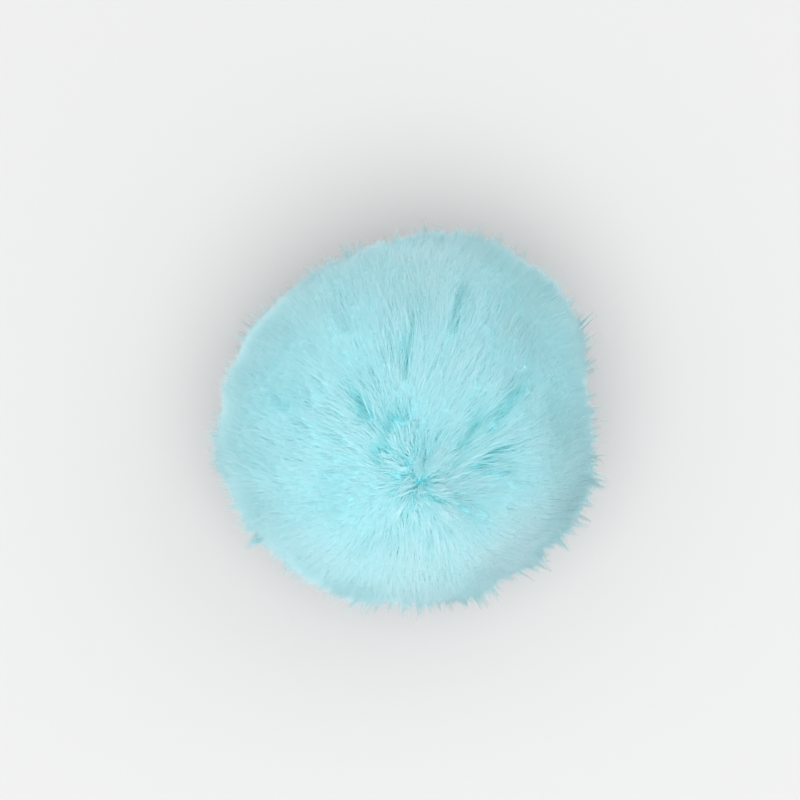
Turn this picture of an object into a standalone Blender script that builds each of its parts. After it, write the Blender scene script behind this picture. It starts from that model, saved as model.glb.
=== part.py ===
"""A fur pom pom: a ball of pelt with its fur standing out all round in locks.

Metres, +Z up. The ball rests on its underside, and the origin is on the surface under it, in the middle
of its box. The locks are wedges that grow from the faces of the pelt ball: narrow at the root, wide where
the fur is full, and drawn to a point at the tip. They lean away from the crown, where the hair parts. Under
the ball they are shorter, and they stand level on their flat ends.
"""

import math
import random
from collections import namedtuple

import bmesh
import bpy
from mathutils import Matrix, Vector

# Driving dimensions, in metres.
FUR_REACH = 0.0397  # from the ball's centre to the tips of the locks
CENTRE_HEIGHT = 0.0345  # of the ball's centre over the surface that it rests on
CENTRE_SHIFT = Vector((-0.000745, -0.000412))  # of the ball's centre from the middle of its box
PELT_RADIUS = 0.0210
FLAT_SPOT_RADIUS = 0.0175  # the locks that end inside it stand on the surface
FLOOR_GAP = 0.0006  # under the locks that don't stand on the surface
TIP_UNEVENNESS = 0.0009  # how much longer or shorter than its neighbours a lock may be

# Layout of the locks. They follow a grid blown up from a cube, with this many along each side of a face.
LOCKS_PER_SIDE = 7
GRID_TURN = math.radians(23)
GRID_JITTER = 0.30  # of a lock's width
TIP_WANDER = 0.22  # of a lock's width, by which its tip stands aside
SEED = 12

# The crown, where the hair parts and leans away on all sides, and how far the tips lean.
CROWN = Vector((0.08, -0.41, 0.91)).normalized()
TIP_LEAN = math.radians(13)
LEAN_FADES_FROM = math.radians(62)  # from straight down, where the locks are pressed upright
LEAN_GONE_AT = math.radians(12)

# A lock from root to tip: how far out each section is, as a share of the lock's length, and how much of
# its place in the grid it fills there.
Section = namedtuple("Section", "share fill")
ROOT_FILL = 0.60
LOCK_SECTIONS = (
    Section(share=0.45, fill=0.86),
    Section(share=0.68, fill=0.90),
    Section(share=0.87, fill=0.68),
)
FOOT_FILL = 0.72  # of a standing lock's flat end

# Where the ball is fuller or flatter than round. Bearings turn from +X towards +Y, in degrees, elevations
# are above the middle of the ball, in degrees, and the rise is in metres.
Swell = namedtuple("Swell", "bearing elevation rise spread")
SWELLS = (
    Swell(bearing=7, elevation=0, rise=-0.0023, spread=11),
    Swell(bearing=33, elevation=4, rise=0.0030, spread=18),
    Swell(bearing=62, elevation=4, rise=0.0024, spread=20),
    Swell(bearing=95, elevation=0, rise=-0.0009, spread=18),
    Swell(bearing=121, elevation=0, rise=-0.0039, spread=26),
    Swell(bearing=147, elevation=0, rise=-0.0015, spread=20),
    Swell(bearing=176, elevation=0, rise=-0.0017, spread=13),
    Swell(bearing=194, elevation=4, rise=0.0020, spread=12),
    Swell(bearing=237, elevation=0, rise=-0.0002, spread=14),
    Swell(bearing=265, elevation=0, rise=-0.0005, spread=14),
    Swell(bearing=291, elevation=0, rise=0.0017, spread=9),
    Swell(bearing=315, elevation=0, rise=0.0019, spread=12),
    Swell(bearing=337, elevation=2, rise=0.0027, spread=16),
    Swell(bearing=165, elevation=-30, rise=-0.0010, spread=22),
    Swell(bearing=255, elevation=-38, rise=0.0012, spread=24),
    Swell(bearing=80, elevation=-40, rise=0.0010, spread=24),
    Swell(bearing=0, elevation=90, rise=-0.0012, spread=34),
)

FUR_COLOUR = (0.36, 0.75, 0.80, 1.0)
FUR_ROUGHNESS = 0.85

DOWN = Vector((0.0, 0.0, -1.0))


def direction(bearing, elevation):
    """The unit vector that points at a bearing and an elevation, in degrees."""
    turn, rise = math.radians(bearing), math.radians(elevation)
    return Vector((math.cos(rise) * math.cos(turn), math.cos(rise) * math.sin(turn), math.sin(rise)))


def ease(low, high, value):
    """0 below low, 1 above high, and smooth between them."""
    share = min(max((value - low) / (high - low), 0.0), 1.0)
    return share * share * (3 - 2 * share)


def reach(ray):
    """How far the fur reaches from the ball's centre along a ray."""
    total = FUR_REACH
    for swell in SWELLS:
        apart = math.degrees(ray.angle(direction(swell.bearing, swell.elevation)))
        total += swell.rise * math.exp(-((apart / swell.spread) ** 2))
    return total


def leaned(ray, share):
    """The ray turned away from the crown, as far as the hair leans at this share of its length."""
    from_crown = CROWN.angle(ray)
    upright = ease(LEAN_GONE_AT, LEAN_FADES_FROM, DOWN.angle(ray))
    turn = TIP_LEAN * share**1.5 * math.sin(from_crown) * upright
    return Matrix.Rotation(turn, 3, CROWN.cross(ray)) @ ray


def to_floor(ray):
    """The distance from the ball's centre along a ray to the surface, or a very long way where it misses."""
    return CENTRE_HEIGHT / -ray.z if ray.z < -0.05 else 1.0


def pelt_grid(mesh):
    """Makes the pelt ball, as a cube blown up to a ball, with its grid a little uneven."""
    bmesh.ops.create_cube(mesh, size=2.0)
    bmesh.ops.subdivide_edges(mesh, edges=mesh.edges[:], cuts=LOCKS_PER_SIDE - 1, use_grid_fill=True)
    turned = Matrix.Rotation(GRID_TURN, 3, "Z")
    lock_angle = math.radians(90) / LOCKS_PER_SIDE
    for vert in mesh.verts:
        even = Vector([math.tan(side * math.pi / 4) for side in vert.co])
        ray = turned @ even.normalized()
        aside = Vector([random.uniform(-1, 1) for _ in range(3)]) * lock_angle * GRID_JITTER
        vert.co = (ray + aside).normalized() * PELT_RADIUS


class Lock:
    """One lock of fur over one face of the pelt."""

    def __init__(self, face):
        self.corners = [vert.co.normalized() for vert in face.verts]
        self.middle = sum(self.corners, Vector()).normalized()
        tip_ray = leaned(self.middle, 1.0)
        self.length = reach(tip_ray) + random.uniform(-1, 1) * TIP_UNEVENNESS - PELT_RADIUS
        self.stands = (tip_ray * to_floor(tip_ray)).xy.length < FLAT_SPOT_RADIUS
        width = (self.corners[0] - self.corners[2]).length
        self.wander = Vector([random.uniform(-1, 1) for _ in range(3)]) * width * TIP_WANDER

    def ray(self, corner, share, fill):
        """The direction of a corner of the lock, at a share of its length, filling part of its place."""
        return leaned((self.middle + (corner - self.middle) * fill).normalized(), share)

    def point(self, ray, share):
        """The point on a ray at a share of the lock's length, kept over the surface."""
        if self.stands:
            return ray * min(PELT_RADIUS + (to_floor(ray) - PELT_RADIUS) * share, PELT_RADIUS + self.length)
        clear = to_floor(ray) * (1 - FLOOR_GAP / CENTRE_HEIGHT)
        return ray * min(PELT_RADIUS + self.length * share, clear)

    def ring(self, share, fill):
        """The corners of the lock's section at a share of its length."""
        return [self.point(self.ray(corner, share, fill), share) for corner in self.corners]

    def foot(self):
        """The corners of a standing lock's flat end, on the surface."""
        rays = [self.ray(corner, 1.0, FOOT_FILL) for corner in self.corners]
        return [Vector((*(ray * to_floor(ray)).xy, -CENTRE_HEIGHT)) for ray in rays]

    def tip(self):
        """The point that a free lock ends in."""
        ray = leaned((self.middle + self.wander).normalized(), 1.0)
        return self.point(ray, 1.0)


def place(face, corners):
    """Moves a face's corners to the given points."""
    for vert, point in zip(face.verts, corners):
        vert.co = point


def grow(mesh, face):
    """Grows a lock out of a face of the pelt, section by section."""
    lock = Lock(face)
    bmesh.ops.inset_individual(mesh, faces=[face], thickness=PELT_RADIUS * 0.01)
    place(face, lock.ring(0.0, ROOT_FILL))
    for section in LOCK_SECTIONS:
        face = bmesh.ops.extrude_discrete_faces(mesh, faces=[face])["faces"][0]
        place(face, lock.ring(section.share, section.fill))
    if lock.stands:
        face = bmesh.ops.extrude_discrete_faces(mesh, faces=[face])["faces"][0]
        place(face, lock.foot())
    else:
        bmesh.ops.poke(mesh, faces=[face])["verts"][0].co = lock.tip()
    return lock


def fur_material():
    """Soft matt fur, pale turquoise."""
    material = bpy.data.materials.new("turquoise_fur")
    material.use_nodes = True
    shader = material.node_tree.nodes["Principled BSDF"]
    shader.inputs["Base Color"].default_value = FUR_COLOUR
    shader.inputs["Roughness"].default_value = FUR_ROUGHNESS
    shader.inputs["Metallic"].default_value = 0.0
    return material


def make_pom_pom():
    """The pelt ball with all its locks, as one solid."""
    random.seed(SEED)
    mesh = bmesh.new()
    pelt_grid(mesh)
    locks = [grow(mesh, face) for face in mesh.faces[:]]
    bmesh.ops.recalc_face_normals(mesh, faces=mesh.faces[:])
    bmesh.ops.translate(mesh, verts=mesh.verts[:], vec=(*CENTRE_SHIFT, CENTRE_HEIGHT))
    for vert in mesh.verts:
        vert.co.z = max(vert.co.z, 0.0)
    data = bpy.data.meshes.new("pom_pom")
    mesh.to_mesh(data)
    mesh.free()
    data.materials.append(fur_material())
    ball = bpy.data.objects.new("pom_pom", data)
    bpy.context.scene.collection.objects.link(ball)
    standing = sum(lock.stands for lock in locks)
    print(f"{len(locks)} locks, {standing} of them standing on the surface")
    return ball


for old in list(bpy.data.objects):
    bpy.data.objects.remove(old, do_unlink=True)
pom_pom = make_pom_pom()
low = Vector([min(v.co[k] for v in pom_pom.data.vertices) for k in range(3)])
high = Vector([max(v.co[k] for v in pom_pom.data.vertices) for k in range(3)])
print("box from", [round(c * 1000, 3) for c in low], "to", [round(c * 1000, 3) for c in high], "mm")
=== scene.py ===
# %% [markdown]
# # A fur pom pom
#
# This lesson dresses a plain solid of a pom pom in real fur. The real thing is a disc of dyed pelt,
# gathered round a filling into a ball, so hair stands out of it on all sides. We keep the solid's place and
# size, hide its chunky locks, and grow fine hair where they were.
#
# Lengths are in metres, made from millimetres with MM. Angles are in degrees.

# %% Load the frame
import math
from collections import namedtuple
import bmesh
import bpy
import numpy as np
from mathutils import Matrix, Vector


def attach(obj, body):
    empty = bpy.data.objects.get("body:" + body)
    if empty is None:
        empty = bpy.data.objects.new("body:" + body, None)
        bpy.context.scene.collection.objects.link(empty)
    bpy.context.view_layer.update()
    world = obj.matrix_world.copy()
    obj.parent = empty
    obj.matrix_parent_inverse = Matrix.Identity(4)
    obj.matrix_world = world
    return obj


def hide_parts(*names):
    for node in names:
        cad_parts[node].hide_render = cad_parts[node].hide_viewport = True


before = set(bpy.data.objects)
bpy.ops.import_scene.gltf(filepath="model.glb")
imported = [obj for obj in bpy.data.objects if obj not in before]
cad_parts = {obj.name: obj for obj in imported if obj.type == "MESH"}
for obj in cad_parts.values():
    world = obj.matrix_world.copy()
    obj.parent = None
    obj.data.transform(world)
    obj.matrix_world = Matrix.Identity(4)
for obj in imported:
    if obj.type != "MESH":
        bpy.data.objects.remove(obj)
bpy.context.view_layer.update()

MM = 0.001

# %% [markdown]
# ## The shape of the ball
#
# A pom pom is nearly round, but its fur is fuller on some sides than on others. We could sculpt that by
# hand. A short table of swells is easier to change: each row names a place by its bearing and elevation on
# the ball, in degrees, and says how far the fur rises or sinks there, and how many degrees wide.

# %% Sizes of the ball
BALL_CENTRE = np.array([-0.745, -0.412, 34.5]) * MM
FUR_REACH = 39.2 * MM
Swell = namedtuple("Swell", "bearing elevation rise spread")
SWELLS = (
    Swell(bearing=7, elevation=0, rise=-2.3 * MM, spread=11),
    Swell(bearing=33, elevation=4, rise=3.0 * MM, spread=18),
    Swell(bearing=62, elevation=4, rise=2.4 * MM, spread=20),
    Swell(bearing=95, elevation=0, rise=-0.9 * MM, spread=18),
    Swell(bearing=121, elevation=0, rise=-3.9 * MM, spread=26),
    Swell(bearing=147, elevation=0, rise=-1.5 * MM, spread=20),
    Swell(bearing=176, elevation=0, rise=-1.7 * MM, spread=13),
    Swell(bearing=194, elevation=4, rise=2.0 * MM, spread=12),
    Swell(bearing=237, elevation=0, rise=-0.2 * MM, spread=14),
    Swell(bearing=265, elevation=0, rise=-0.5 * MM, spread=14),
    Swell(bearing=291, elevation=0, rise=1.7 * MM, spread=9),
    Swell(bearing=315, elevation=0, rise=1.9 * MM, spread=12),
    Swell(bearing=337, elevation=2, rise=2.7 * MM, spread=16),
    Swell(bearing=165, elevation=-30, rise=-1.0 * MM, spread=22),
    Swell(bearing=255, elevation=-38, rise=1.2 * MM, spread=24),
    Swell(bearing=80, elevation=-40, rise=1.0 * MM, spread=24),
    Swell(bearing=0, elevation=90, rise=-1.2 * MM, spread=34),
)
print(len(SWELLS), "swells, the highest", round(max(swell.rise for swell in SWELLS) / MM, 1), "mm")

# %% [markdown]
# ## Rays, angles and soft hills
#
# A ray is a direction of length one from the ball's centre, and it names the place that it points at. A dot
# product then gives the angle between two places. Every swell is one soft hill, and the same hill serves
# for all else that fades out, such as partings and patches of colour. The functions work on whole arrays of
# rays, because there will be well over a hundred thousand.

# %% Rays and hills
NO_LENGTH = 1e-12  # a shorter vector has no direction


def unit(vectors):
    """The vectors, each made one long."""
    return vectors / np.maximum(np.linalg.norm(vectors, axis=-1, keepdims=True), NO_LENGTH)


def direction(bearing, elevation):
    """The direction at a bearing, from +X towards +Y, and an elevation."""
    turn, rise = math.radians(bearing), math.radians(elevation)
    return np.array([math.cos(rise) * math.cos(turn), math.cos(rise) * math.sin(turn), math.sin(rise)])


def angle(rays, axis):
    """The angle between each ray and one direction."""
    return np.degrees(np.arccos(np.clip(rays @ axis, -1, 1)))


def hill(distance, spread):
    """1 in the middle, and falling smoothly to nearly 0 at twice the spread."""
    return np.exp(-((distance / spread) ** 2))


print("a hill, 0, 1 and 2 spreads from its middle:", np.round(hill(np.arange(3), 1), 2))

# %% [markdown]
# ## Soft lobes, and how far the fur reaches
#
# The fur also lies in soft lobes about a centimetre wide. A few dozen waves, added up, give such lobes
# without a pattern that repeats. One function then adds the swells and the lobes, and tells every hair how
# far it may reach.

# %% Lobes and reach
LOBE_HEIGHT = 0.3 * MM


class Waves:
    """A smooth random field over the ball, mostly from -2 to 2: the sum of waves that cross it every way."""

    def __init__(self, seed, count, slow, fast):
        random = np.random.default_rng(seed)
        self.runs = unit(random.normal(0, 1, (count, 3))) * random.uniform(slow, fast, (count, 1))
        self.starts = random.uniform(0, 2 * math.pi, count)

    def __call__(self, rays):
        return np.cos(rays @ self.runs.T + self.starts).sum(axis=1) / math.sqrt(len(self.starts) / 2)


LOBES = Waves(seed=11, count=24, slow=10, fast=24)


def reach(rays):
    """How far the fur reaches from the ball's centre along each ray."""
    total = FUR_REACH + LOBES(rays) * LOBE_HEIGHT
    for swell in SWELLS:
        total += swell.rise * hill(angle(rays, direction(swell.bearing, swell.elevation)), swell.spread)
    return total


sides = np.array([direction(bearing, 0) for bearing in (0, 90, 180, 270)])
print("reach at the four sides in mm:", np.round(reach(sides) / MM, 1))

# %% [markdown]
# ## Spreading roots evenly
#
# Hair roots should cover the pelt evenly but never line up. Random points leave bald gaps, and a grid
# shows. A golden-angle spiral gives even spacing, and a small random nudge hides its pattern.

# %% Roots on a ball
GOLDEN_ANGLE = math.pi * (3 - math.sqrt(5))
TUFT_NUDGE = 0.3  # of the spacing, for the centres of tufts
HAIR_NUDGE = 0.4  # and for single hairs


def spacing(count):
    """The angle between neighbours, in radians, when so many points share a ball."""
    return math.sqrt(4 * math.pi / count)


def scattered(count, nudge, random):
    """Rays spread evenly over a ball, each moved aside by a share of the spacing."""
    step = np.arange(count) + 0.5
    height = 1 - 2 * step / count
    flat = np.sqrt(1 - height**2)
    turn = step * GOLDEN_ANGLE
    even = np.stack([flat * np.cos(turn), flat * np.sin(turn), height], axis=1)
    return unit(even + random.normal(0, nudge * spacing(count), (count, 3)))


print("100000 roots would be", round(spacing(100000) * FUR_REACH / MM, 2), "mm apart at the surface")

# %% [markdown]
# ## The lay of the hair
#
# Fur isn't combed at random. It parts at a crown, like a cowlick, and leans away from it all over the ball.
# Smaller whorls turn it aside again. Each row below is a crown or a whorl, at its place as seen from above
# in millimetres from the middle of the ball, with how far the hair leans away from it and how soon that
# lean is full. A whorl's lean also fades out farther away, while the crown's goes on round the ball.
#
# Wide streams of hair also drift a little to one side or the other, by three more sums of waves, one for
# each axis. If we spread the roots evenly, leaning hair would leave the crown bare. So we spread the tips,
# and this function works back to where each hair's root must be.

# %% Lay
Whorl = namedtuple("Whorl", "x y lean full_at fades_at")
WHORLS = (
    Whorl(x=3.1, y=-17.0, lean=6.5, full_at=14, fades_at=400),
    Whorl(x=4.0, y=7.0, lean=2, full_at=7, fades_at=18),
)
DRIFTS = [Waves(seed=seed, count=20, slow=4, fast=12) for seed in (31, 32, 33)]
DRIFT = 0.022  # radians, how far the hair strays from its lay in wide streams


def seen(x, y):
    """The ray to the place on top of the ball that is seen at x, y from above, in millimetres."""
    place = np.array([x, y]) * MM
    return unit(np.array([*place, math.sqrt(max(FUR_REACH**2 - place @ place, 0))]))


def rooted(tips):
    """The rays to the roots of the hairs whose tips are on the given rays."""
    roots = tips
    for whorl in WHORLS:
        middle = seen(whorl.x, whorl.y)
        apart = angle(tips, middle)
        inwards = unit(middle - tips * (tips @ middle)[:, None])
        lean = whorl.lean * (1 - np.exp(-apart / whorl.full_at)) * hill(apart, whorl.fades_at)
        roots = roots + inwards * np.tan(np.radians(lean))[:, None]
    return unit(roots + np.stack([drift(tips) for drift in DRIFTS], axis=1) * DRIFT)


print("lean at the four sides:", np.round([angle(rooted(side[None]), side)[0] for side in sides]))

# %% [markdown]
# ## Partings
#
# Here and there locks fall apart, and one looks down towards the roots, where the colour ramp paints deeper
# shade. Each row of the table is one such cleft, drawn as it is seen from above: where it starts and ends,
# how wide it is, how deep, and how far it pushes the hair aside, all in millimetres. The push is full from
# half a width out, and fades to nothing in the very middle, where a hair could fall either way.

# %% Partings
Parting = namedtuple("Parting", "x0 y0 x1 y1 wide deep push")
PARTINGS = [
    Parting(x0=-11.1, y0=6.1, x1=-8.8, y1=2.3, wide=2.0, deep=2.3, push=0.3),
    Parting(x0=-6.6, y0=-5.2, x1=-3.0, y1=2.5, wide=1.5, deep=2.1, push=0.3),
    Parting(x0=0.6, y0=15.2, x1=1.6, y1=24.6, wide=1.1, deep=1.7, push=0.2),
    Parting(x0=10.0, y0=20.3, x1=12.2, y1=28.5, wide=1.4, deep=2.0, push=0.3),
    Parting(x0=12.5, y0=-3.7, x1=16.2, y1=2.3, wide=1.8, deep=2.2, push=0.2),
    Parting(x0=19.7, y0=1.5, x1=23.3, y1=6.9, wide=1.8, deep=1.9, push=0.2),
    Parting(x0=7.4, y0=-1.8, x1=9.1, y1=-0.5, wide=0.8, deep=1.8, push=0.2),
    Parting(x0=17.8, y0=-8.4, x1=22.5, y1=-3.1, wide=1.6, deep=0.8, push=0.2),
    Parting(x0=-7.7, y0=-5.2, x1=-3.9, y1=-10.0, wide=1.6, deep=0.9, push=0.3),
    Parting(x0=-22.6, y0=-0.4, x1=-20.2, y1=-4.2, wide=0.9, deep=0.6, push=0.2),
    Parting(x0=-12.4, y0=19.2, x1=-15.1, y1=24.2, wide=1.3, deep=0.7, push=0.2),
    Parting(x0=-10.0, y0=-27.3, x1=-7.1, y1=-24.5, wide=1.3, deep=0.7, push=0.2),
    Parting(x0=0.0, y0=13.3, x1=1.9, y1=10.3, wide=0.9, deep=1.1, push=0.3),
    Parting(x0=-0.5, y0=-15.5, x1=7.5, y1=-10.0, wide=2.0, deep=0.3, push=0.2),
    Parting(x0=1.5, y0=-16.0, x1=3.5, y1=-10.5, wide=1.4, deep=0.4, push=0.2),
    Parting(x0=-2.9, y0=36.2, x1=-3.3, y1=39.0, wide=1.2, deep=2.6, push=1.2),
]


def part_hair(rays):
    """Rays pushed out of the partings, and how much shorter the hair on each is for them."""
    sunk = np.zeros(len(rays))
    for cleft in PARTINGS:
        start, end = seen(cleft.x0, cleft.y0), seen(cleft.x1, cleft.y1)
        run = end - start
        share = np.clip((rays - start) @ run / (run @ run), 0, 1)
        aside = rays - (start + share[:, None] * run)
        far = np.linalg.norm(aside, axis=1) * FUR_REACH / MM
        near = hill(far, cleft.wide)
        push = cleft.push * MM / FUR_REACH * near * np.minimum(far * 2 / cleft.wide, 1)
        sunk = sunk + cleft.deep * MM * near
        rays = unit(rays + unit(aside) * push[:, None])
    return rays, sunk


print(len(PARTINGS), "large partings, the deepest", max(cleft.deep for cleft in PARTINGS), "mm")

# %% [markdown]
# ## Calm fur and tousled fur
#
# Most of the fur is so calm that single hairs don't show, only a soft bloom. Round the crown and along some
# partings it is tousled: the tips gather in fine wisps with gaps between them. So we need one more map,
# which says how tousled each place is, from 0 to 1. Its rows are spots seen from above again. The ball's
# waist, which makes the rim of the picture, is tousled too, most of all on the right, and so is all of the
# ball under it, where handling has ruffled it.

# %% Where it is tousled
Spot = namedtuple("Spot", "x y spread amount")
SPOTS = (
    Spot(x=9.0, y=-2.0, spread=27.0, amount=0.12),
    Spot(x=3.6, y=-13.2, spread=7.5, amount=0.75),
    Spot(x=5.2, y=-22.0, spread=8.0, amount=0.7),
    Spot(x=17.2, y=-5.5, spread=7.5, amount=0.6),
    Spot(x=-9.8, y=2.9, spread=5.0, amount=0.7),
    Spot(x=-2.8, y=-4.7, spread=5.0, amount=0.7),
    Spot(x=1.0, y=12.5, spread=4.0, amount=0.6),
    Spot(x=11.5, y=13.0, spread=5.0, amount=0.6),
    Spot(x=11.1, y=23.9, spread=4.5, amount=0.6),
    Spot(x=1.0, y=20.0, spread=4.5, amount=0.5),
    Spot(x=22.2, y=19.4, spread=5.5, amount=0.4),
)
Rim = namedtuple("Rim", "bearing half amount")
RIMS = (
    Rim(bearing=5, half=80, amount=0.9),
    Rim(bearing=185, half=90, amount=0.8),
    Rim(bearing=275, half=50, amount=0.4),
    Rim(bearing=110, half=40, amount=0.3),
)
RUFFLED_ABOVE = 15.0  # degrees over the waist where the ruffled fur fades into calm fur
RUFFLED_BELOW = 75.0  # and under it
CALM = 0.06


def ruffled(rays):
    """1 at the waist, and falling to 0 soon over it and slowly under it."""
    elevation = np.degrees(np.arcsin(np.clip(rays[:, 2], -1, 1)))
    return hill(elevation, np.where(elevation > 0, RUFFLED_ABOVE, RUFFLED_BELOW))


def tousle(rays):
    """How tousled the fur is along each ray, from 0 to 1."""
    total = np.zeros(len(rays))
    for spot in SPOTS:
        spread = math.degrees(spot.spread * MM / FUR_REACH)
        total += spot.amount * hill(angle(rays, seen(spot.x, spot.y)), spread)
    bearing = np.degrees(np.arctan2(rays[:, 1], rays[:, 0]))
    low = ruffled(rays)
    for rim in RIMS:
        beside = (bearing - rim.bearing + 180) % 360 - 180
        total += rim.amount * hill(beside, rim.half) * low
    return np.clip(total, 0, 1)


crown_and_left = np.array([seen(3.6, -13.2), seen(-25, 0)])
print("tousled at the crown and on the left:", np.round(tousle(crown_and_left), 2))

# %% [markdown]
# ## Small gaps
#
# Between the large partings there are dozens of small gaps, short slits that run the way the hair lies.
# Their exact places don't matter, so we draw them at random, more of them where the fur is tousled.

# %% Small gaps
SMALL_GAPS = 110
GAP_ZONE = 31.0  # mm, the radius of the part seen from above that has them
GAP_LONG = (1.0, 3.5)  # mm, the shortest and the longest
GAP_WIDE = (0.35, 0.65)
GAP_DEEP = (1.0, 2.2)
GAP_PUSH = 0.1
GAP_TURN = 0.3  # radians, by which a gap strays from the way the hair lies
GAP_SEED = 21


def small_gaps():
    """Short slits at random places, more of them where the fur is tousled."""
    random = np.random.default_rng(GAP_SEED)
    crown = WHORLS[0]
    gaps = []
    while len(gaps) < SMALL_GAPS:
        x, y = random.uniform(-GAP_ZONE, GAP_ZONE, 2)
        if math.hypot(x, y) > GAP_ZONE or random.random() > tousle(seen(x, y)[None])[0]:
            continue
        turn = math.atan2(y - crown.y, x - crown.x) + random.normal(0, GAP_TURN)
        long = random.uniform(*GAP_LONG)
        x1, y1 = x + long * math.cos(turn), y + long * math.sin(turn)
        gaps.append(Parting(x, y, x1, y1, random.uniform(*GAP_WIDE), random.uniform(*GAP_DEEP), GAP_PUSH))
    return gaps


PARTINGS += small_gaps()
print(len(PARTINGS), "partings with the small gaps")

# %% [markdown]
# ## Paler and deeper patches
#
# The dye has taken a little unevenly, and worn tips are paler. Some patches paint light and shade as well:
# the paler ones near the top and bottom edges are painted light, and the deeper ones at the left and right
# edges painted shade. These wide soft patches change the tint of everything that grows there, by up to a
# quarter, and waves add a faint mottling between them.

# %% Patches
Patch = namedtuple("Patch", "x y spread paler")
# Paler patches near the top and bottom edges paint light, deeper ones at the left and right edges paint
# shade, and the others are uneven dye.
DYE_AND_LIGHT_PATCHES = (
    Patch(x=1.0, y=-33.0, spread=12, paler=0.26),
    Patch(x=-25.0, y=-22.0, spread=9, paler=0.06),
    Patch(x=23.0, y=-26.0, spread=12, paler=0.28),
    Patch(x=5.0, y=34.0, spread=12, paler=0.23),
    Patch(x=3.1, y=-15.0, spread=7, paler=0.12),
    Patch(x=-13.7, y=-15.3, spread=7, paler=-0.10),
    Patch(x=33.0, y=5.0, spread=10, paler=-0.10),
    Patch(x=-28.0, y=0.0, spread=12, paler=-0.13),
)
MOTTLE = Waves(seed=41, count=24, slow=12, fast=40)
MOTTLING = 0.03


def patched(rays):
    """How much paler the fur is along each ray."""
    total = MOTTLE(rays) * MOTTLING
    for patch in DYE_AND_LIGHT_PATCHES:
        spread = math.degrees(patch.spread * MM / FUR_REACH)
        total += patch.paler * hill(angle(rays, seen(patch.x, patch.y)), spread)
    return total


print(len(DYE_AND_LIGHT_PATCHES), "patches")

# %% [markdown]
# ## Tufts
#
# Hairs don't stand alone. Their tips gather into fine wisps, those into little tufts, and those into soft
# lobes. For each layer we scatter centres over the ball, draw each hair's tip part of the way to the
# nearest, and give each centre its own small turn, length and tint. A little blur in who belongs where
# keeps the larger lobes from showing an edge. Lengths follow an exponential law, so that most tufts are
# alike and a few stand well out of the rest, which makes the ragged rim.

# %% Tufts
Layer = namedtuple("Layer", "count pull turn length tint blur")
LAYERS = (
    Layer(count=300, pull=0.12, turn=1.2, length=0.3 * MM, tint=0.05, blur=0.3),
    Layer(count=2200, pull=0.35, turn=1.4, length=0.3 * MM, tint=0.06, blur=0.1),
    Layer(count=16000, pull=0.95, turn=1.6, length=0.85 * MM, tint=0.07, blur=0.0),
)
LONGEST = 3.2  # times the usual length of a tuft beyond its layer's shortest
LEAST_PULL = 0.8  # of its layer's pull, in the loosest tuft
TUFT_SEED = 7
BATCH = 4000  # rays compared with all centres at a time, to spare memory


def nearest(rays, centres):
    """For each ray, the number of the centre nearest to it."""
    parts = [np.argmax(rays[k : k + BATCH] @ centres.T, axis=1) for k in range(0, len(rays), BATCH)]
    return np.concatenate(parts)


class Tufts:
    """A layer of tufts, each with its own small differences."""

    def __init__(self, layer, random):
        self.random = random
        self.blur = layer.blur * spacing(layer.count)
        self.centres = scattered(layer.count, TUFT_NUDGE, random).astype(np.float32)
        self.pull = layer.pull * random.uniform(LEAST_PULL, 1, layer.count)
        self.turns = random.normal(0, math.radians(layer.turn), (layer.count, 3))
        self.lengths = (np.minimum(random.exponential(1, layer.count), LONGEST) - 1) * layer.length
        self.tints = random.normal(0, layer.tint, layer.count)

    def gather(self, rays, strength):
        """Rays drawn to their tufts, with the length and the tint that they get from them."""
        strayed = rays + self.random.normal(0, 1, rays.shape) * self.blur
        mine = nearest(strayed.astype(np.float32), self.centres)
        drawn = rays + (self.centres[mine] - rays) * (self.pull[mine] * strength)[:, None]
        drawn = unit(drawn + self.turns[mine] * strength[:, None])
        return drawn, self.lengths[mine] * strength, self.tints[mine] * strength


tuft_random = np.random.default_rng(TUFT_SEED)
TUFTS = [Tufts(layer, tuft_random) for layer in LAYERS]
print("tufts in each layer:", [layer.count for layer in LAYERS])

# %% [markdown]
# ## Resting on the floor
#
# Under the ball the hair is pressed aside by the surface that it rests on. We could bend each hair there,
# but it is simpler to grow it as if there were no floor and then to move its two ends: what would go
# through is lifted and spread outwards. Each hair has a lowest height of its own, so they don't all end in
# one flat sheet.

# %% Over the floor
FLOOR_LAYER = 0.25 * MM  # the lowest that a hair's middle line may lie
FLOOR_SOFTNESS = 0.5 * MM  # over which the lift sets in


def over_floor(points, low):
    """Points lifted, the more the lower they are, and spread outwards by half of the lift."""
    low = FLOOR_LAYER + low
    under = low - points[:, 2]
    lift = np.where(under > -low, (under + np.sqrt(under**2 + FLOOR_SOFTNESS**2)) / 2, 0)
    outwards = (points - BALL_CENTRE) * (1, 1, 0)
    moved = points + unit(outwards) * lift[:, None] / 2
    moved[:, 2] += lift
    return moved


print("hair ends at least", round(FLOOR_LAYER / MM, 2), "mm over the floor")

# %% [markdown]
# ## Hair as geometry
#
# Blender has a hair system, but a part for other programs needs plain meshes. Each hair becomes a closed
# spike of three sides, from a small triangle at its root to a point at its tip. With so many alike, we fill
# arrays with numpy instead of calling a modelling tool for each.

# %% One spike for each hair
SIDES = 3
TRIANGLES = np.array([(0, 1, 3), (1, 2, 3), (2, 0, 3), (0, 2, 1)])  # the corners of three sides and a root
TINY = 1e-9  # added to a difference, so that it has a direction where two points meet


def spikes(root, tip, width):
    """The corners of each spike: three round its root and one at its tip."""
    along = unit(tip - root)
    side = unit(np.cross(along, root - BALL_CENTRE + TINY))
    other = np.cross(along, side)
    ring = []
    for corner in range(SIDES):
        turn = 2 * math.pi * corner / SIDES
        ring.append(root + (side * math.cos(turn) + other * math.sin(turn)) * width[:, None] / 2)
    return np.stack([*ring, tip], axis=1)


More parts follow.
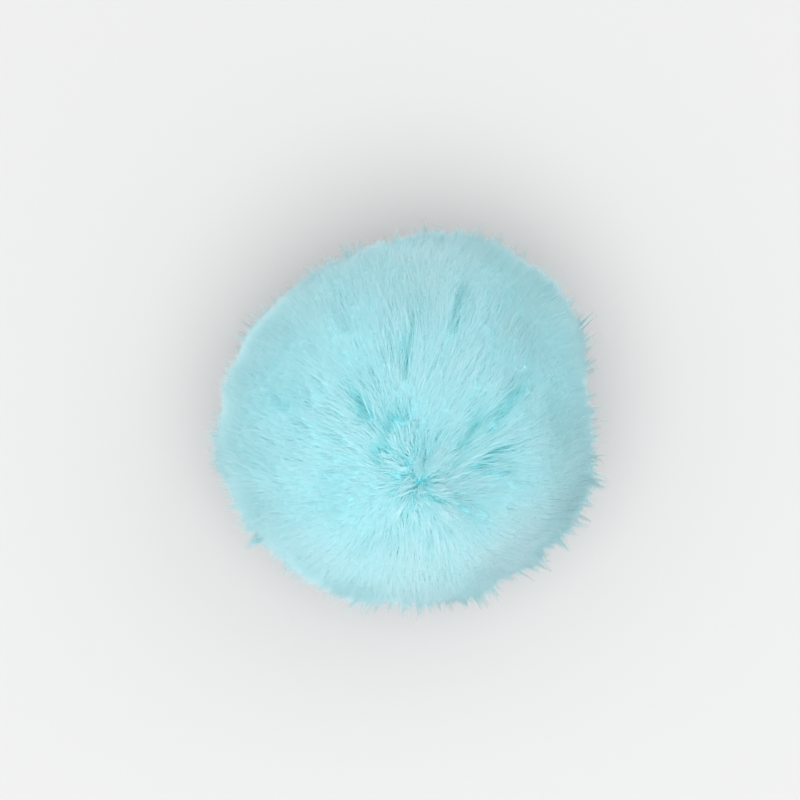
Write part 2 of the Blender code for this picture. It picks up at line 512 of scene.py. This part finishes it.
print(len(TRIANGLES), "triangles to a hair")

# %% [markdown]
# ## Two numbers for the colour
#
# Each hair carries two numbers for its material: U is the hair's own tint, a little different on its sides,
# and V is how near the surface of the fur a place on it is. A UV map holds two numbers at every corner of a
# mesh, and most programs can read it, so it is a good place for them.

# %% Numbers for the colour
SIDE_TINT = 0.004  # by which U differs between two sides of a hair
ROOT_DEPTH_STEP = 0.01  # by which the corners of a root differ in V, so that no face is a line in the UV map
COLOUR_DEPTH = 6.5 * MM  # under the surface of the fur, where V is 0


def set_colour_numbers(mesh, places, tints, corners, steps=0):
    """Writes each vertex's tint and nearness to the surface, moved by the steps, in the mesh's UV map."""
    under = reach(unit(places - BALL_CENTRE)) - np.linalg.norm(places - BALL_CENTRE, axis=1)
    numbers = np.stack([np.clip(tints, 0, 1), np.clip(1 - under / COLOUR_DEPTH + steps, 0, 1)], axis=1)
    uv = mesh.uv_layers.new(name="OFBake")
    uv.uv.foreach_set("vector", numbers[corners].astype(np.float32).ravel())


print("V falls from 1 to 0 over", round(COLOUR_DEPTH / MM, 1), "mm")

# %% [markdown]
# ## One mesh of many hairs
#
# Tens of thousands of objects would be slow, so each piece of fur is one mesh. Real hair is thin enough to
# glow where light falls on it, so it never shades as sharply as a solid spike would. Normals that point
# mostly outwards from the ball, and only a little around each hair, give that softness.

# %% A mesh of spikes
ROUNDNESS = 0.05  # how much the normals turn round each hair


def spike_mesh(name, root, tip, width, tint):
    """One mesh of many spikes, with the UV map that colours them."""
    points = spikes(root, tip, width)
    count, per_hair = points.shape[:2]
    corners = (TRIANGLES.ravel() + np.arange(count)[:, None] * per_hair).ravel()
    flat = points.reshape(-1, 3)
    shift = np.array([-SIDE_TINT, SIDE_TINT, 0, 0])
    steps = np.tile([0, 0, -ROOT_DEPTH_STEP, 0], count)
    mesh = bpy.data.meshes.new(name)
    mesh.vertices.add(len(flat))
    mesh.vertices.foreach_set("co", flat.astype(np.float32).ravel())
    mesh.loops.add(len(corners))
    mesh.loops.foreach_set("vertex_index", corners.astype(np.int32))
    mesh.polygons.add(len(corners) // 3)
    mesh.polygons.foreach_set("loop_start", np.arange(0, len(corners), 3, dtype=np.int32))
    mesh.update(calc_edges=True)
    mesh.validate()
    set_colour_numbers(mesh, flat, (tint[:, None] + shift).ravel(), corners, steps)
    mesh.shade_smooth()
    axis = np.stack([root, root, root, tip], axis=1).reshape(-1, 3)
    rays = unit(flat - BALL_CENTRE)
    mesh.normals_split_custom_set_from_vertices(unit(unit(flat - axis + TINY) * ROUNDNESS + rays))
    return mesh


def show(name, mesh):
    """Puts a mesh in the scene, as an object at the origin."""
    piece = bpy.data.objects.new(name, mesh)
    bpy.context.scene.collection.objects.link(piece)
    print(f"{name}: {len(mesh.polygons)} faces")
    return piece


print("normals turn by up to", round(math.degrees(math.atan(ROUNDNESS)), 1), "degrees round a hair")

# %% [markdown]
# ## The colour of the fur
#
# One dye colours the whole pelt. It looks strong down between the hairs, where light has bounced off dyed
# hair many times, and pale at the tips. A colour ramp over V paints that, so its deeper colour down between
# the hairs is painted shade. U then makes one hair deeper and another paler: by dye, and on the wool and in
# some patches as painted light and shade. Both steps sit in one node group, so that a reader finds them in
# one place.

# %% Colours of the fur
# DEEP, low on the ramp, is painted shade: the saturated colour that light takes on down between the hairs.
DEEP = (0.26, 0.82, 0.88, 1)
BODY = (0.49, 0.92, 0.985, 1)
TIP = (0.66, 0.92, 0.98, 1)
PALE = (0.78, 0.97, 1.0, 1)
Mark = namedtuple("Mark", "position colour")
COLOUR_MARKS = (Mark(0.35, DEEP), Mark(0.75, BODY), Mark(1.0, TIP))
# Deepens low tints: deeper dye on some hairs, and painted shade on the wool and in the deeper patches.
DEEPER_DYE_AND_SHADE = (0.47, 0.74, 0.76, 1)  # what the deepest hair's colour is multiplied by
PALEST = 0.7  # how far towards PALE the palest tips go
MIDDLE_TINT = 0.5  # the tint that changes nothing


def fur_colour_group():
    """A node group: colour from the hair's tint and from how near the surface it is."""
    group = bpy.data.node_groups.new("fur_colour", "ShaderNodeTree")
    for name in ("Tint", "Surface"):
        group.interface.new_socket(name, in_out="INPUT", socket_type="NodeSocketFloat")
    group.interface.new_socket("Colour", in_out="OUTPUT", socket_type="NodeSocketColor")
    nodes, links = group.nodes, group.links
    given, put = nodes.new("NodeGroupInput"), nodes.new("NodeGroupOutput")
    ramp = nodes.new("ShaderNodeValToRGB")
    ramp.color_ramp.interpolation = "EASE"
    while len(ramp.color_ramp.elements) < len(COLOUR_MARKS):
        ramp.color_ramp.elements.new(0.5)
    for stop, mark in zip(ramp.color_ramp.elements, COLOUR_MARKS):
        stop.position, stop.color = mark
    deeper = nodes.new("ShaderNodeMapRange")
    deeper.inputs["From Max"].default_value = MIDDLE_TINT
    deeper.inputs["To Min"].default_value = 1
    deeper.inputs["To Max"].default_value = 0
    deepened = nodes.new("ShaderNodeMix")
    deepened.data_type = "RGBA"
    deepened.blend_type = "MULTIPLY"
    deepened.inputs["B"].default_value = DEEPER_DYE_AND_SHADE
    paler = nodes.new("ShaderNodeMapRange")
    paler.inputs["From Min"].default_value = MIDDLE_TINT
    paler.inputs["To Max"].default_value = PALEST
    at_surface = nodes.new("ShaderNodeMath")
    at_surface.operation = "MULTIPLY"
    paled = nodes.new("ShaderNodeMix")
    paled.data_type = "RGBA"
    paled.inputs["B"].default_value = PALE
    links.new(given.outputs["Surface"], ramp.inputs["Fac"])
    links.new(given.outputs["Tint"], deeper.inputs["Value"])
    links.new(deeper.outputs["Result"], deepened.inputs["Factor"])
    links.new(ramp.outputs["Color"], deepened.inputs["A"])
    links.new(given.outputs["Tint"], paler.inputs["Value"])
    links.new(paler.outputs["Result"], at_surface.inputs[0])
    links.new(given.outputs["Surface"], at_surface.inputs[1])
    links.new(at_surface.outputs["Value"], paled.inputs["Factor"])
    links.new(deepened.outputs["Result"], paled.inputs["A"])
    links.new(paled.outputs["Result"], put.inputs["Colour"])
    return group


fur_colour = fur_colour_group()
print("the colour group has", len(fur_colour.nodes), "nodes")

# %% [markdown]
# ## The fur's material
#
# The material reads the two numbers back from the UV map and sends them through the group. Fine soft fur
# has almost no shine of its own, so the material is rough and reflects little. With more shine the rim of
# the ball would look frosted.

# %% Fur material
HAIR_ROUGHNESS = 0.75
HAIR_SHINE = 0.12


def hair_material():
    """Soft hair, coloured by the hair's own UV map."""
    material = bpy.data.materials.new("dyed_hair")
    material.use_nodes = True
    nodes, links = material.node_tree.nodes, material.node_tree.links
    shader = nodes["Principled BSDF"]
    place = nodes.new("ShaderNodeUVMap")
    place.uv_map = "OFBake"
    split = nodes.new("ShaderNodeSeparateXYZ")
    colour = nodes.new("ShaderNodeGroup")
    colour.node_tree = fur_colour
    links.new(place.outputs["UV"], split.inputs["Vector"])
    links.new(split.outputs["X"], colour.inputs["Tint"])
    links.new(split.outputs["Y"], colour.inputs["Surface"])
    links.new(colour.outputs["Colour"], shader.inputs["Base Color"])
    shader.inputs["Roughness"].default_value = HAIR_ROUGHNESS
    shader.inputs["Specular IOR Level"].default_value = HAIR_SHINE
    return material


HAIR = hair_material()
print("materials:", [material.name for material in bpy.data.materials])

# %% [markdown]
# ## The wool between the hairs
#
# A real pelt has wool under its hair, so dense that one sees no deeper than two or three millimetres. A
# closed ball stands for it. It follows the fur, sinks in the partings and where the fur is tousled, has
# small lumps, and is rough from point to point, so that what shows of it between the hairs isn't smooth. It
# needs no material of its own: it carries the same two numbers as the hair. Its tint is painted shade:
# deeper than the hair's all over, for the shade of the hair above it, and deepest where the fur is open and
# in the partings.

# %% Wool
WOOL_SUBDIVISIONS = 7
WOOL_SEED = 3
WOOL_DEPTH = 2.6 * MM
TOUSLED_DEPTH = 1.3 * MM
WOOL_FLOOR = 1.0 * MM  # how much higher than the lowest hair the wool ends
# Painted shade on the wool: its tint is deeper all over, for the shade of the hair above it, and deepest in
# partings and where the fur is tousled.
DEEPEST_SHADE_AT = 1.0 * MM  # the depth of a parting where the wool's tint is deepest
LUMPS = Waves(seed=51, count=80, slow=10, fast=70)
LUMP_HEIGHT = 0.08 * MM
WOOL_SHADE_TINT = 0.36
TOUSLED_WOOL_SHADE_TINT = 0.05
WOOL_SPECKLE = 0.05
WOOL_ROUGHNESS = 0.22 * MM


def wool_mesh():
    """A closed ball that follows the fur, a little below its tips."""
    random = np.random.default_rng(WOOL_SEED)
    ball = bmesh.new()
    bmesh.ops.create_icosphere(ball, subdivisions=WOOL_SUBDIVISIONS, radius=1.0)
    rays = unit(np.array([vert.co[:] for vert in ball.verts]))
    loose, parted = tousle(rays), part_hair(rays)[1]
    sunk = WOOL_DEPTH + TOUSLED_DEPTH * loose + parted
    far = reach(rays) - sunk + LUMPS(rays) * LUMP_HEIGHT + random.normal(0, WOOL_ROUGHNESS, len(rays))
    places = over_floor(BALL_CENTRE + rays * far[:, None], np.full(len(rays), WOOL_FLOOR))
    for vert, place in zip(ball.verts, places):
        vert.co = place
    mesh = bpy.data.meshes.new("under_wool")
    ball.to_mesh(mesh)
    ball.free()
    corners = np.zeros(len(mesh.loops), dtype=np.int32)
    mesh.loops.foreach_get("vertex_index", corners)
    # painted shade: how much deeper the wool's tint is in tousled fur and in partings
    deeper = np.clip(loose / 2 + parted / DEEPEST_SHADE_AT, 0, 1)
    tints = WOOL_SHADE_TINT + (TOUSLED_WOOL_SHADE_TINT - WOOL_SHADE_TINT) * deeper + random.normal(0, WOOL_SPECKLE, len(rays))
    set_colour_numbers(mesh, places, tints, corners)
    mesh.shade_smooth()
    return mesh


print("the wool lies", round(WOOL_DEPTH / MM, 1), "mm deep in calm fur")

# %% [markdown]
# ## In place of the solid
#
# The solid ball is there for the part's place and size, and what people see are these pieces. So each piece
# moves with the part's root and hides the solid that it stands for.

# %% Dress the part in wool
def finish_piece(piece):
    """Gives a piece its material and puts it in the place of the solid ball."""
    piece.data.materials.append(HAIR)
    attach(piece, "root")
    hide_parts("pom_pom")


finish_piece(show("under_wool", wool_mesh()))

# %% [markdown]
# ## Two coats of hair
#
# The soft mass is fine down, whose tips stray a little to all sides, so it closes over what is below. Guard
# hairs are fewer, straighter, thicker and paler; their paleness in tousled fur is partly painted light on
# tips that catch it. They stand over the down where the fur is tousled, and few of them grow where it is
# calm.
#
# Each coat below gives the hairs to a piece, the share of them kept where the fur is calm, how strongly
# they gather in tufts, how much of each hair is grown, how many degrees the tips stray in calm and in
# tousled fur, how much shorter or longer than the fur's surface they end, how much shorter still where it
# is tousled, how thin and how thick they are, and how much paler in tousled fur.

# %% Down and guard hair
Coat = namedtuple(
    "Coat", "hairs calm_share gathered grown calm_stray stray shorter longer tousled_cut thin thick paler"
)
DOWN = Coat(
    hairs=46000, calm_share=1, gathered=0.45, grown=3.8 * MM, calm_stray=2.2, stray=1.0,
    shorter=0.15 * MM, longer=0.3 * MM, tousled_cut=0.6 * MM, thin=0.09 * MM, thick=0.13 * MM, paler=0,
)
# The guard hair's paler tint in tousled fur is partly painted light on the tips that catch it.
GUARD = Coat(
    hairs=75000, calm_share=0.04, gathered=1, grown=4.2 * MM, calm_stray=1.2, stray=0.2,
    shorter=0.1 * MM, longer=0.3 * MM, tousled_cut=0, thin=0.15 * MM, thick=0.26 * MM, paler=0.22,
)
print("hairs to a piece, before some are left out:", DOWN.hairs, "of down and", GUARD.hairs, "guard hairs")

# %% [markdown]
# ## Growing the fur
#
# We grow only the outer part of each hair, since the rest would be lost in the wool. A hair takes its
# length and its tint from its tufts, its place from the partings, and a little of everything from chance.
# The down is grown in four pieces, because one mesh of so many hairs would be heavy to handle.

# %% Grow the fur
DOWN_PIECES = 4
DOWN_SEED = 100
GUARD_SEED = 200
RAGGED = 0.8  # times their length that the wisps gain at the waist and under it, for a ragged rim
CALM_WIDTH = 0.75  # of its full width, how wide a hair is drawn where the fur is calm
HAIR_TINT = 0.01
FLOOR_SPREAD = 1.4 * MM  # how much higher than the lowest of them other hairs end over the floor


def fur(name, coat, seed):
    """One mesh of a coat's hairs, grown over the whole ball."""
    random = np.random.default_rng(seed)
    tips = scattered(coat.hairs, HAIR_NUDGE, random)
    kept = random.random(coat.hairs) < coat.calm_share + (1 - coat.calm_share) * tousle(tips)
    tips = tips[kept]
    roots = rooted(tips)
    count = len(tips)
    loose = tousle(tips)
    strength = (CALM + (1 - CALM) * loose) * coat.gathered
    length = coat.longer * random.random(count)
    length -= coat.shorter * np.abs(random.normal(0, 1, count))
    length -= coat.tousled_cut * loose
    # The tint holds dye, the patches' painted light and shade, and the guard hair's paler tips, partly
    # painted light.
    tint = MIDDLE_TINT + patched(tips) + coat.paler * loose + random.normal(0, HAIR_TINT, count)
    ragged = 1 + RAGGED * ruffled(tips)
    for tufts in TUFTS:
        tips, longer, paler = tufts.gather(tips, strength)
        length += longer * ragged
        tint += paler
    tips, sunk = part_hair(tips)
    stray = np.radians(coat.calm_stray * (1 - loose) + coat.stray * loose)
    tips = unit(tips + random.normal(0, 1, (count, 3)) * stray[:, None])
    start = BALL_CENTRE + roots * (reach(roots) - coat.grown - sunk)[:, None]
    end = BALL_CENTRE + tips * (reach(tips) + length - sunk)[:, None]
    width = random.uniform(coat.thin, coat.thick, count) * (CALM_WIDTH + (1 - CALM_WIDTH) * loose)
    low = random.uniform(0, FLOOR_SPREAD, count)
    return spike_mesh(name, over_floor(start, low), over_floor(end, low), width, tint)


for number in range(1, DOWN_PIECES + 1):
    name = f"down_{number}"
    finish_piece(show(name, fur(name, DOWN, DOWN_SEED + number)))
finish_piece(show("guard_hair", fur("guard_hair", GUARD, GUARD_SEED)))

# %% [markdown]
# ## A plain floor
#
# The ball lies on a wide pale floor. It also throws light back up on the fur's underside, as any table does.

# %% Floor
FLOOR_HALF = 1.5
FLOOR_GREY = 0.56
FLOOR_ROUGHNESS = 0.7


def floor_mesh():
    """A wide plain floor at height 0."""
    grid = bmesh.new()
    bmesh.ops.create_grid(grid, x_segments=1, y_segments=1, size=FLOOR_HALF)
    mesh = bpy.data.meshes.new("floor")
    grid.to_mesh(mesh)
    grid.free()
    return mesh


def floor_material():
    """Plain pale matt paint."""
    material = bpy.data.materials.new("pale_floor")
    material.use_nodes = True
    shader = material.node_tree.nodes["Principled BSDF"]
    shader.inputs["Base Color"].default_value = (FLOOR_GREY, FLOOR_GREY, FLOOR_GREY, 1)
    shader.inputs["Roughness"].default_value = FLOOR_ROUGHNESS
    return material


floor = show("floor", floor_mesh())
floor.data.materials.append(floor_material())

# %% [markdown]
# ## Soft light
#
# Soft light comes from all round, from the world. A big lamp nearly overhead, a little to the front and
# left, gives the ball its form, and a weak one over the far right softens the other side. Light has to pass
# from hair to hair many times before it fills the fur, so we allow more bounces than usual.

# %% Light
Lamp = namedtuple("Lamp", "name place size power")
LAMPS = (
    Lamp(name="key", place=(-0.03, -0.18, 1.0), size=0.9, power=6.7),
    Lamp(name="fill", place=(0.6, 0.5, 0.8), size=0.8, power=0.8),
)
WORLD_LIGHT = 0.98
DIFFUSE_BOUNCES = 10
MAX_BOUNCES = 14


def make_lamp(lamp):
    """A round soft lamp that shines at the ball."""
    light = bpy.data.lights.new(lamp.name, "AREA")
    light.shape = "DISK"
    light.size = lamp.size
    light.energy = lamp.power
    holder = bpy.data.objects.new(lamp.name, light)
    holder.location = lamp.place
    holder.rotation_euler = Vector(BALL_CENTRE - lamp.place).to_track_quat("-Z", "Y").to_euler()
    bpy.context.scene.collection.objects.link(holder)


for lamp in LAMPS:
    make_lamp(lamp)
world = bpy.data.worlds.new("studio")
bpy.context.scene.world = world
world.use_nodes = True
world.node_tree.nodes["Background"].inputs["Color"].default_value = (1, 1, 1, 1)
world.node_tree.nodes["Background"].inputs["Strength"].default_value = WORLD_LIGHT
bpy.context.scene.view_settings.view_transform = "Standard"
bpy.context.scene.cycles.diffuse_bounces = DIFFUSE_BOUNCES
bpy.context.scene.cycles.max_bounces = MAX_BOUNCES
print("lamps:", [lamp.name for lamp in LAMPS])

# %% [markdown]
# ## The camera
#
# The camera looks straight down. A long lens far away shows the ball's rim as it is, with little
# perspective. The height follows from the lens and from how much of the table the picture spans.

# %% Camera
LENS_MM = 100
SENSOR_MM = 36
PHOTO_WIDTH = 165 * MM
AIM = (-1.655 * MM, 3.428 * MM)

camera_data = bpy.data.cameras.new("camera")
camera_data.lens = LENS_MM
camera_data.sensor_width = SENSOR_MM
camera = bpy.data.objects.new("camera", camera_data)
camera.location = (*AIM, BALL_CENTRE[2] + PHOTO_WIDTH * LENS_MM / SENSOR_MM)
bpy.context.scene.collection.objects.link(camera)
bpy.context.scene.camera = camera
print("camera", round(camera.location.z / MM), "mm over the floor")
